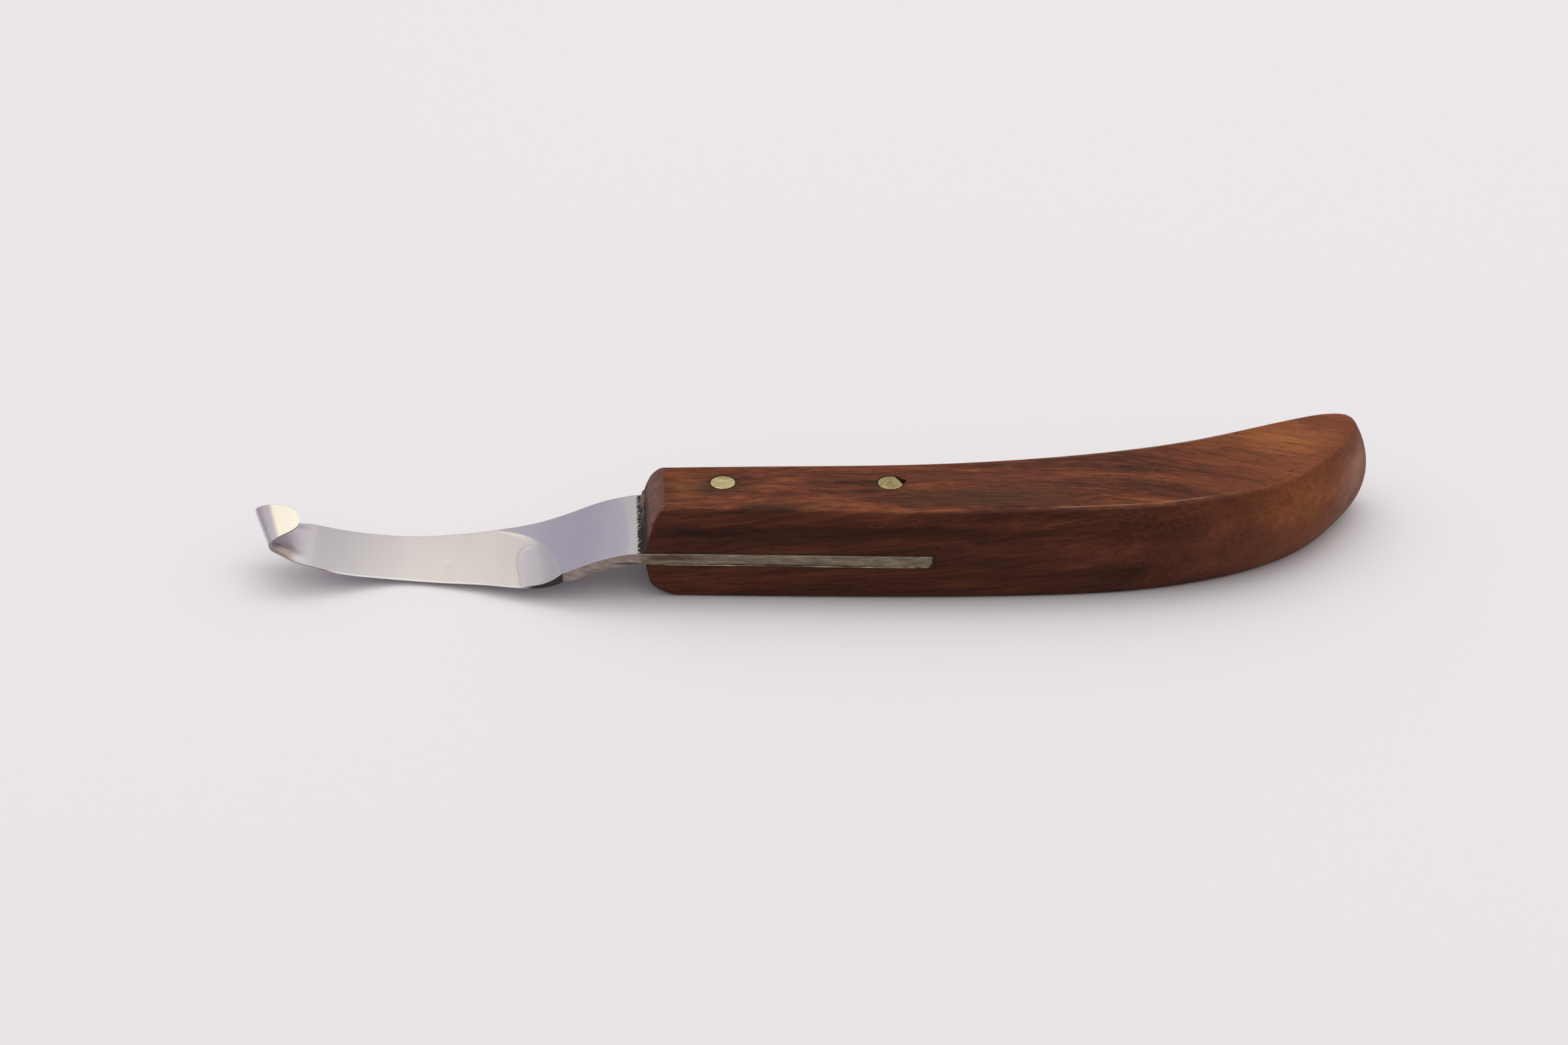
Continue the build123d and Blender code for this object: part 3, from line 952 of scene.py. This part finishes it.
def paint_wood(piece):
    w = Paint("oiled_wood")
    fan = w.step(w.x, 52, 112, 0.0, 12.0)
    wave = w.wobble((26, 12, 12), 2.4, detail=2)
    grain_y = w.plus(w.y, fan, wave)
    grain_z = w.plus(w.z, w.times(w.x, -0.1), w.times(wave, 0.7))
    grain = w.join(w.x, grain_y, grain_z)
    band = w.noise((42, 5.5, 4.5), grain, detail=3, rough=0.55, bend=0.3, seed=3)
    streak = w.noise((30, 1.7, 1.5), grain, detail=5, rough=0.6, bend=0.35, seed=8)
    thread = w.noise((11, 0.5, 0.5), grain, detail=4, rough=0.62, seed=21)
    pores = w.step(w.noise((2.8, 0.26, 0.26), grain, detail=2, seed=5), 0.58, 0.68)

    tone = w.plus(w.times(band, 0.42), w.times(streak, 0.28), w.times(thread, 0.4))
    # The sides take darker shades than the top. This is partly the wood's own tone and partly painted shade,
    # because the sides face away from the light above.
    side = w.step(w.calc("ABSOLUTE", w.facing_z), 0.93, 0.6)
    top = w.shades(
        tone, (0.4, (44, 25, 17)), (0.5, (82, 43, 27)), (0.6, (114, 61, 37)), (0.72, (150, 90, 52))
    )
    flank = w.shades(
        tone, (0.36, (36, 18, 13)), (0.5, (60, 30, 20)), (0.62, (82, 43, 28)), (0.78, (108, 60, 38))
    )
    w.colour = w.mix(side, top, flank)

    olive = w.plus(
        w.patch((33, -5.5, HEIGHT), (25, 4.5, 2.2), 0.7, 0.5),
        w.patch((-3, -8.6, HEIGHT), (13, 2.0, 2.2), 0.7, 0.5),
        w.patch((-18, -2.5, HEIGHT), (10, 3.2, 2), 0.8, 0.6),
    )
    olive = w.times(olive, w.step(streak, 0.42, 0.6, 0.25, 0.85))
    w.stain((62, 46, 28), olive)
    worn_red = w.patch((36, 2, HEIGHT), (24, 6.5, 2), 0.8, 0.5)
    w.stain((78, 42, 31), worn_red, 0.4)
    # Painted dark reflection: darker along the near top crease and in the band of the side just under it,
    # where the upper slope mirrors the dim low room.
    dark = w.plus(
        w.patch((-8, -9.6, HEIGHT), (9, 1.5, 1.8), 0.6, 0.5, 1.5),
        w.patch((12, -12.5, 15.2), (56, 3, 1.9), 0.7, 0.45, 1.6),
        w.patch((-22, -12.5, 14.8), (20, 3, 2.7), 0.9, 0.4, 2.4),
    )
    w.stain((28, 14, 10), dark, 0.52)
    honey = w.plus(
        w.times(w.patch((-23.5, -2, HEIGHT), (7, 7, 2), 1.0, 0.6, 4), 0.6),
        w.patch((89, 18, HEIGHT), (20, 9, 3), 1.0, 0.6, 5),
        w.times(w.patch((96, 2, 14), (22, 16, 7), 1.0, 0.6, 5), 0.55),
    )
    w.stain((166, 103, 54), honey, w.step(streak, 0.3, 0.65, 0.3, 0.85))
    butt = w.step(w.x, 58, 108, 0.0, 0.45)
    w.stain((146, 84, 52), butt)
    # Painted sheen: a pale, greyish patch near the butt's end, standing for the bright room's reflection on
    # its rounded edge.
    pale = w.patch((108, 12, 13), (9, 14, 8), 1.0, 0.6, 4)
    w.stain((190, 148, 128), pale, 0.42)
    # Painted light: the near flank is made lighter and warmer at mid-height, where its bulge faces the lit
    # floor.
    floor_lit_flank = w.patch((58, -13, 11), (48, 12, 4), 1.0, 0.5, 3)
    w.stain((122, 62, 44), floor_lit_flank, side, 0.22)
    rays = w.step(w.noise((17, 0.8, 0.9), grain, detail=3, rough=0.55, seed=14), 0.56, 0.68)
    rays = w.times(rays, w.patch((86, 14, HEIGHT), (17, 9, 3), 0.8, 0.4, 4), 0.55)
    w.stain((70, 36, 22), rays)
    w.stain((30, 16, 10), pores, 0.5)

    fray = w.wobble((1.2, 0.5, 0.9), 0.5, detail=3, rough=0.6, seed=41)
    end = w.times(w.step(w.plus(w.facing_x, fray), -0.12, -0.5), w.step(w.x, -22, -25))
    lines = w.noise((3, 0.16, 1.7), detail=3, rough=0.6, seed=11)
    end_colour = w.shades(lines, (0.32, (70, 44, 36)), (0.5, (104, 70, 60)), (0.68, (140, 104, 92)))
    low_end = w.step(w.z, 9.2, 8.4)
    end_colour = w.tint(end_colour, (66, 36, 26), low_end)
    ragged_z = w.plus(w.z, w.wobble((3, 2.2, 3), 3.4, seed=2))
    # Partly a dark glue smear and partly painted shade: the front end is darkened just above the tang, where
    # the blade meets the wood.
    smear_and_shade = w.times(w.step(ragged_z, 15.4, 12.4), w.step(w.z, 8.2, 10.6))
    end_colour = w.tint(end_colour, (50, 43, 45), smear_and_shade, 0.92)
    w.colour = w.mix(end, w.colour, end_colour)

    crease = w.times(w.step(w.facing_z, 0.95, 0.985), w.step(w.facing_z, 0.9995, 0.994))
    middle = w.times(w.step(w.x, 38, 50), w.step(w.x, 84, 74))
    worn = w.times(crease, middle, w.step(w.noise((5, 2, 2), seed=9), 0.42, 0.55, 0.15, 0.42))
    w.stain((176, 140, 112), worn)
    squiggle = w.calc("ABSOLUTE", w.wobble((4.5, 3, 1.5), 1.0, detail=2.5, seed=31))
    squiggle = w.times(w.step(squiggle, 0.008, 0.002), w.step(w.noise((4, 3, 3), seed=33), 0.5, 0.6))
    scratched = w.plus(
        w.patch((19, -11.5, 15.5), (14, 4, 2.6), 0.4),
        w.patch((68, -8, 13), (16, 6, 3.6), 0.4),
        w.patch((52, 2, HEIGHT), (22, 7, 2), 0.4),
    )
    squiggle = w.times(squiggle, scratched, 0.26)
    w.stain((150, 112, 84), squiggle)
    rims = []
    for centre in PIN_CENTRES:
        away = w.vector("LENGTH", w.vector("SUBTRACT", w.place, w.join(centre.x, centre.y, w.z)))
        rims.append(w.step(w.plus(away, w.times(w.noise((1, 1, 1), seed=6), 0.5)), 3.25, 2.6))
    rim = w.times(w.plus(rims[0], rims[1]), w.step(w.facing_z, 0.8, 0.95), 0.72)
    w.stain((26, 15, 11), rim)
    kerf_line = w.times(w.step(w.calc("ABSOLUTE", w.plus(w.z, -MIDDLE)), 1.75, 1.3), w.step(w.x, 24.4, 23.8))
    w.stain((30, 17, 12), kerf_line, 0.6)

    sheen = w.plus(w.step(thread, 0.3, 0.75, 0.55, 0.42), w.times(end, 0.16), w.times(pores, 0.2))
    bump = w.bump(w.plus(w.times(thread, 0.7), w.times(pores, -0.8)), 0.03)
    bump = w.bump(w.times(lines, end), 0.03, bump)
    looks = {"Specular_IOR_Level": 0.02, "Coat_Weight": 0.14, "Coat_Roughness": 0.32}
    w.finish(piece, w.colour, sheen, Normal=bump, **looks)


def paint_steel(piece):
    s = Paint("ground_steel")
    stored = "near_side", "far_side", "under_side", "behind_plunge", "inside_scoop", "rolled"
    near, far, under, past, scoop, rolled = [s.attribute(name) for name in stored]
    # In the handle, the strip's back looks like its near side.
    in_wood = s.step(s.x, -31.6, -31.2)
    near = s.plus(near, s.times(far, in_wood))
    on_top = s.rest(s.most(near, under))
    cloud = s.noise((14, 9, 9), detail=3, seed=4)
    brush = s.noise((0.22, 16, 16), detail=4, rough=0.6, seed=7)
    bands = s.noise((3.5, 24, 30), detail=3, rough=0.5, seed=2)
    lengthways = s.noise((9, 0.16, 0.9), detail=4, rough=0.6, seed=16)

    ground = s.step(past, -0.05, 0.25)
    # The unground steel is tinted purplish grey and the ground belly warm and pale. This is partly the two
    # finishes and partly painted reflection of the dim cool room low down and the bright room above.
    plain = s.mix(cloud, linear(193, 188, 199), linear(199, 195, 205))
    by_joint = s.plus(s.x, s.times(s.y, 0.1))
    bulge = s.plus(s.times(s.step(s.y, 3, 10), 1.3), s.times(s.step(s.y, -8, -12), 0.6))
    light_zone = s.step(s.plus(by_joint, s.times(cloud, 0.9), bulge), -34.0, -32.9)
    plain = s.tint(plain, (204, 200, 200), light_zone)
    belly = s.mix(s.step(bands, 0.3, 0.7), linear(226, 221, 216), linear(231, 225, 218))
    # Painted reflection: the belly darkens towards the tip, where it mirrors a dimmer part of the room.
    dimmer_reflection_to_tip = s.step(s.x, -62, -90)
    belly = s.tint(belly, (205, 202, 203), dimmer_reflection_to_tip)
    s.colour = s.mix(ground, plain, belly)
    in_scoop = s.step(scoop, -0.1, 0.15)
    s.stain((206, 203, 206), in_scoop, 0.85)
    outline = s.times(s.step(s.calc("ABSOLUTE", scoop), 0.24, 0.05), s.step(past, 1.0, 2.2))
    s.stain((120, 112, 122), outline, 0.2)

    # Painted reflection: the top turns a darker purplish grey where the strip bends up into the hook and
    # mirrors a dimmer part of the room.
    root = s.plus(s.x, s.times(s.y, -0.094))
    root_zone = s.times(s.step(root, -93.8, -95.0), on_top)
    s.stain((196, 188, 194), root_zone, 0.85)
    # Painted shade: inside the hook's closed end the colour is darkened to a dull brown.
    closed = s.patch((-98.4, -7.5, 8.0), (3.8, 4.5, 2.5), 0.8, 0.3, 1.5)
    s.stain((146, 128, 114), root_zone, closed, 0.75)

    # The rolled hook's outside is cream on its flat top and purple-grey round its curve. This is partly its
    # brushed finish and partly painted reflection of the bright room above and the dimmer room to the side.
    flat = s.plus(s.x, s.times(s.y, 0.265))
    tongue = s.times(rolled, under, s.step(flat, -101.6, -100.5), s.step(s.z, 10.6, 10.9))
    cream_and_reflection = s.mix(s.step(lengthways, 0.32, 0.7), linear(243, 237, 219), linear(249, 244, 227))
    underside = s.mix(s.step(lengthways, 0.3, 0.7), linear(194, 187, 193), linear(204, 198, 203))
    outside = s.mix(tongue, underside, cream_and_reflection)
    s.colour = s.mix(under, s.colour, outside)

    beside = s.plus(s.x, s.times(s.y, FRONT_SKEW))
    joint = s.step(beside, -33.2, -31.2)
    speck = s.step(s.noise((0.5, 0.55, 0.5), detail=2, seed=12), 0.66, 0.5)
    specks = s.times(s.calc("LESS_THAN", s.plus(speck, s.times(joint, -0.5)), 0.3), joint, on_top)
    s.stain((112, 94, 84), specks, 0.6)
    soil = s.times(s.step(s.plus(beside, s.times(speck, 0.9)), -31.35, -31.0), on_top)
    s.stain((40, 31, 29), soil, 0.97)

    streaks = s.noise((3.2, 1, 0.55), detail=4, rough=0.66, seed=18)
    crank_side = s.shades(streaks, (0.34, (112, 97, 90)), (0.5, (138, 122, 113)), (0.68, (168, 154, 144)))
    tang_side = s.shades(streaks, (0.34, (92, 79, 62)), (0.5, (112, 99, 81)), (0.68, (136, 124, 103)))
    stained = s.patch((-25, -12.5, 9.9), (5.5, 2, 0.9), 0.6, 0.6, 1.2)
    tang_side = s.tint(tang_side, (66, 40, 28), stained, 0.8)
    side = s.mix(s.step(s.x, -31.2, -30.6), crank_side, tang_side)
    wobble = s.wobble((2.2, 1, 1), 0.5, seed=23)
    # Painted light: the tang's side is lightened along its top and bottom edges, most along the bottom,
    # lifting the shade in the groove beside the adhesive film.
    rim = s.step(s.plus(s.calc("ABSOLUTE", s.plus(s.z, -MIDDLE)), wobble), 1.0, 1.12)
    rim = s.times(rim, s.step(s.x, -31.5, -30.8), s.step(s.z, 11, 9, 0.45, 0.9))
    side = s.tint(side, (196, 184, 166), rim)
    # The near edge's side is darkened from about x -45.5 to -51 with a ragged start, fading out by x -55.
    darkened_edge = s.times(s.step(s.plus(s.x, wobble), -45.3, -45.8), s.step(s.x, -55, -51))
    side = s.tint(side, (30, 25, 26), darkened_edge, 0.95)
    mark = s.patch((-33, -12.4, 8.62), (3.2, 2, 0.34), 0.5, 0.5, 0.8)
    side = s.tint(side, (48, 39, 41), mark, 0.85)
    # Painted highlight: a near-white line on the side of the sharpened near edge.
    sharp = s.times(s.step(s.x, -51, -55), s.step(s.x, -91, -88))
    side = s.tint(side, (240, 236, 234), sharp)
    side = s.tint(side, (150, 144, 144), rolled)
    s.colour = s.mix(near, s.colour, side)
    spine = s.times(far, s.rest(s.most(in_wood, rolled)))
    s.stain((198, 193, 197), spine)

    worn_side = s.times(near, s.step(s.x, -54, -50.5))
    dark_marks = s.most(specks, soil, s.times(near, s.most(darkened_edge, mark)))
    rough = s.plus(
        0.15,
        s.times(brush, 0.1),
        s.times(on_top, s.rest(ground), 0.1),
        s.times(in_scoop, 0.1),
        s.times(root_zone, 0.2),
        s.times(tongue, 0.22),
        s.times(under, 0.08),
        s.times(s.most(worn_side, dark_marks), 0.3),
    )
    metal = s.step(worn_side, 0, 1, 1.0, 0.35)
    bump = s.bump(s.plus(s.times(brush, s.plus(0.25, in_scoop)), s.times(bands, 0.5)), 0.003)
    bump = s.bump(s.times(streaks, worn_side), 0.12, bump)
    s.finish(piece, s.colour, rough, Normal=bump, Metallic=metal)


def paint_brass(piece, colours, turn, seed):
    b = Paint("filed_brass")
    turned = b.plus(b.times(b.x, math.cos(turn)), b.times(b.y, math.sin(turn)))
    across = b.plus(b.times(b.y, math.cos(turn)), b.times(b.x, -math.sin(turn)))
    lay = b.join(turned, across, b.z)
    lines = b.noise((2.6, 0.16, 2), lay, detail=4, rough=0.65, seed=seed)
    blots = b.noise((1.5, 0.8, 2), lay, detail=3, rough=0.6, seed=seed + 5)
    tone = b.plus(b.times(lines, 0.6), b.times(blots, 0.4))
    dark, mid, light = colours
    colour = b.shades(tone, (0.34, dark), (0.5, mid), (0.66, light))
    rough = b.step(lines, 0.3, 0.7, 0.42, 0.26)
    b.finish(piece, colour, rough, Normal=b.bump(lines, 0.03), Metallic=1.0)


def paint_resin(piece, film):
    r = Paint("aged_resin")
    lumps = r.noise((0.9, 0.9, 0.9), detail=4, rough=0.6, seed=13)
    colour = r.shades(lumps, (0.3, (24, 20, 21)), (0.52, (46, 36, 34)), (0.72, (96, 70, 50)))
    if film:
        chalk = r.noise((3, 0.8, 0.5), detail=3, seed=19)
        pale = r.shades(chalk, (0.35, (96, 76, 60)), (0.5, (140, 124, 102)), (0.68, (186, 174, 152)))
        pale = r.tint(pale, (78, 56, 42), r.step(r.z, MIDDLE - 1, MIDDLE + 1))
        outside = r.times(r.step(r.x, -29.5, -28.5), r.step(r.x, 23.3, 22.0))
        colour = r.mix(outside, colour, pale)
        colour = r.tint(colour, (48, 27, 20), r.step(r.x, 22.6, 23.3))
    else:
        brown = r.shades(lumps, (0.3, (58, 38, 31)), (0.52, (104, 70, 54)), (0.72, (150, 112, 90)))
        colour = r.mix(r.step(r.y, 2.6, 3.6), colour, brown)
    rough = r.step(lumps, 0.3, 0.7, 0.3, 0.55)
    shine = 0.15 if film else 0.5
    r.finish(piece, colour, rough, Normal=r.bump(lumps, 0.15), Specular_IOR_Level=shine)


FLOOR_COLOUR = (0.822, 0.812, 0.817, 1.0)


def paint_floor(piece):
    f = Paint("pale_floor")
    tone = f.noise((400, 400, 400), detail=2)
    colour = f.mix(tone, FLOOR_COLOUR, tuple(c * 0.985 for c in FLOOR_COLOUR[:3]) + (1.0,))
    f.finish(piece, colour, f.step(tone, 0.3, 0.7, 0.9, 0.95), IOR=1.3)


FRONT_BRASS = [(122, 112, 66), (196, 182, 126), (232, 222, 172)]
REAR_BRASS = [(104, 92, 56), (170, 152, 100), (196, 190, 140)]

paint_wood(handle)
paint_steel(blade)
paint_brass(front_pin, FRONT_BRASS, math.radians(20), 1)
paint_brass(rear_pin, REAR_BRASS, math.radians(52), 3)
paint_resin(film, film=True)
paint_resin(bead, film=False)
# The CAD solids, which the pieces replace, get a plain material of ours as well.
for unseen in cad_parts.values():
    unseen.data.materials.clear()
    unseen.data.materials.append(blade.data.materials[0])


# ---- camera, floor and lights ----

CAMERA_TARGET = Vector((-4.24, 1.12, MIDDLE)) * MM
CAMERA_DISTANCE = 0.6671
CAMERA_TURN = math.radians(-0.2257)
CAMERA_TILT = math.radians(31)
camera_data = bpy.data.cameras.new("camera")
camera_data.sensor_width = 36
camera_data.lens = 80.71
camera_data.clip_start = 0.01
camera = bpy.data.objects.new("camera", camera_data)
forward = Vector((
    math.sin(CAMERA_TURN) * math.cos(CAMERA_TILT),
    math.cos(CAMERA_TURN) * math.cos(CAMERA_TILT),
    -math.sin(CAMERA_TILT),
))
camera.location = CAMERA_TARGET - forward * CAMERA_DISTANCE
camera.rotation_euler = forward.to_track_quat("-Z", "Y").to_euler()
bpy.context.scene.collection.objects.link(camera)
bpy.context.scene.camera = camera
bpy.context.scene.view_settings.view_transform = "Standard"

floor_work = bmesh.new()
bmesh.ops.create_grid(floor_work, x_segments=8, y_segments=8, size=6)
floor_mesh = bpy.data.meshes.new("floor")
floor_work.to_mesh(floor_mesh)
floor_work.free()
floor = bpy.data.objects.new("floor", floor_mesh)
bpy.context.scene.collection.objects.link(floor)
paint_floor(floor)


# A broad light hangs high above, a little behind the knife, and faces it. In metres and watts.
light = bpy.data.lights.new("overhead", "AREA")
light.shape = "RECTANGLE"
light.size = 1.4
light.size_y = 0.5
light.energy = 2.2
light.color = (1.0, 0.98, 0.96)
lamp = bpy.data.objects.new("overhead", light)
lamp.location = (0.1, 0.4, 1.15)
lamp.rotation_euler = (-lamp.location).to_track_quat("-Z", "Y").to_euler()
bpy.context.scene.collection.objects.link(lamp)

# The rest comes from a room that is dim and cool low down and bright above.
ROOM = [
    (0.0, (0.42, 0.40, 0.45)), (0.42, (0.445, 0.42, 0.475)), (0.5, (0.565, 0.535, 0.56)),
    (0.6, (0.73, 0.70, 0.685)), (0.7, (0.86, 0.83, 0.815)), (1.0, (0.96, 0.94, 0.95)),
]
world = bpy.data.worlds.new("soft_room")
bpy.context.scene.world = world
world.use_nodes = True
sky = world.node_tree
direction = sky.nodes.new("ShaderNodeTexCoord")
split = sky.nodes.new("ShaderNodeSeparateXYZ")
room_shades = sky.nodes.new("ShaderNodeValToRGB")
for _ in ROOM[2:]:
    room_shades.color_ramp.elements.new(0.5)
for element, (height, shade) in zip(room_shades.color_ramp.elements, ROOM):
    element.position = height
    element.color = (*shade, 1.0)
sky.links.new(direction.outputs["Generated"], split.inputs[0])
sky.links.new(split.outputs[2], room_shades.inputs[0])
sky.links.new(room_shades.outputs[0], sky.nodes["Background"].inputs["Color"])
sky.nodes["Background"].inputs["Strength"].default_value = 1.2
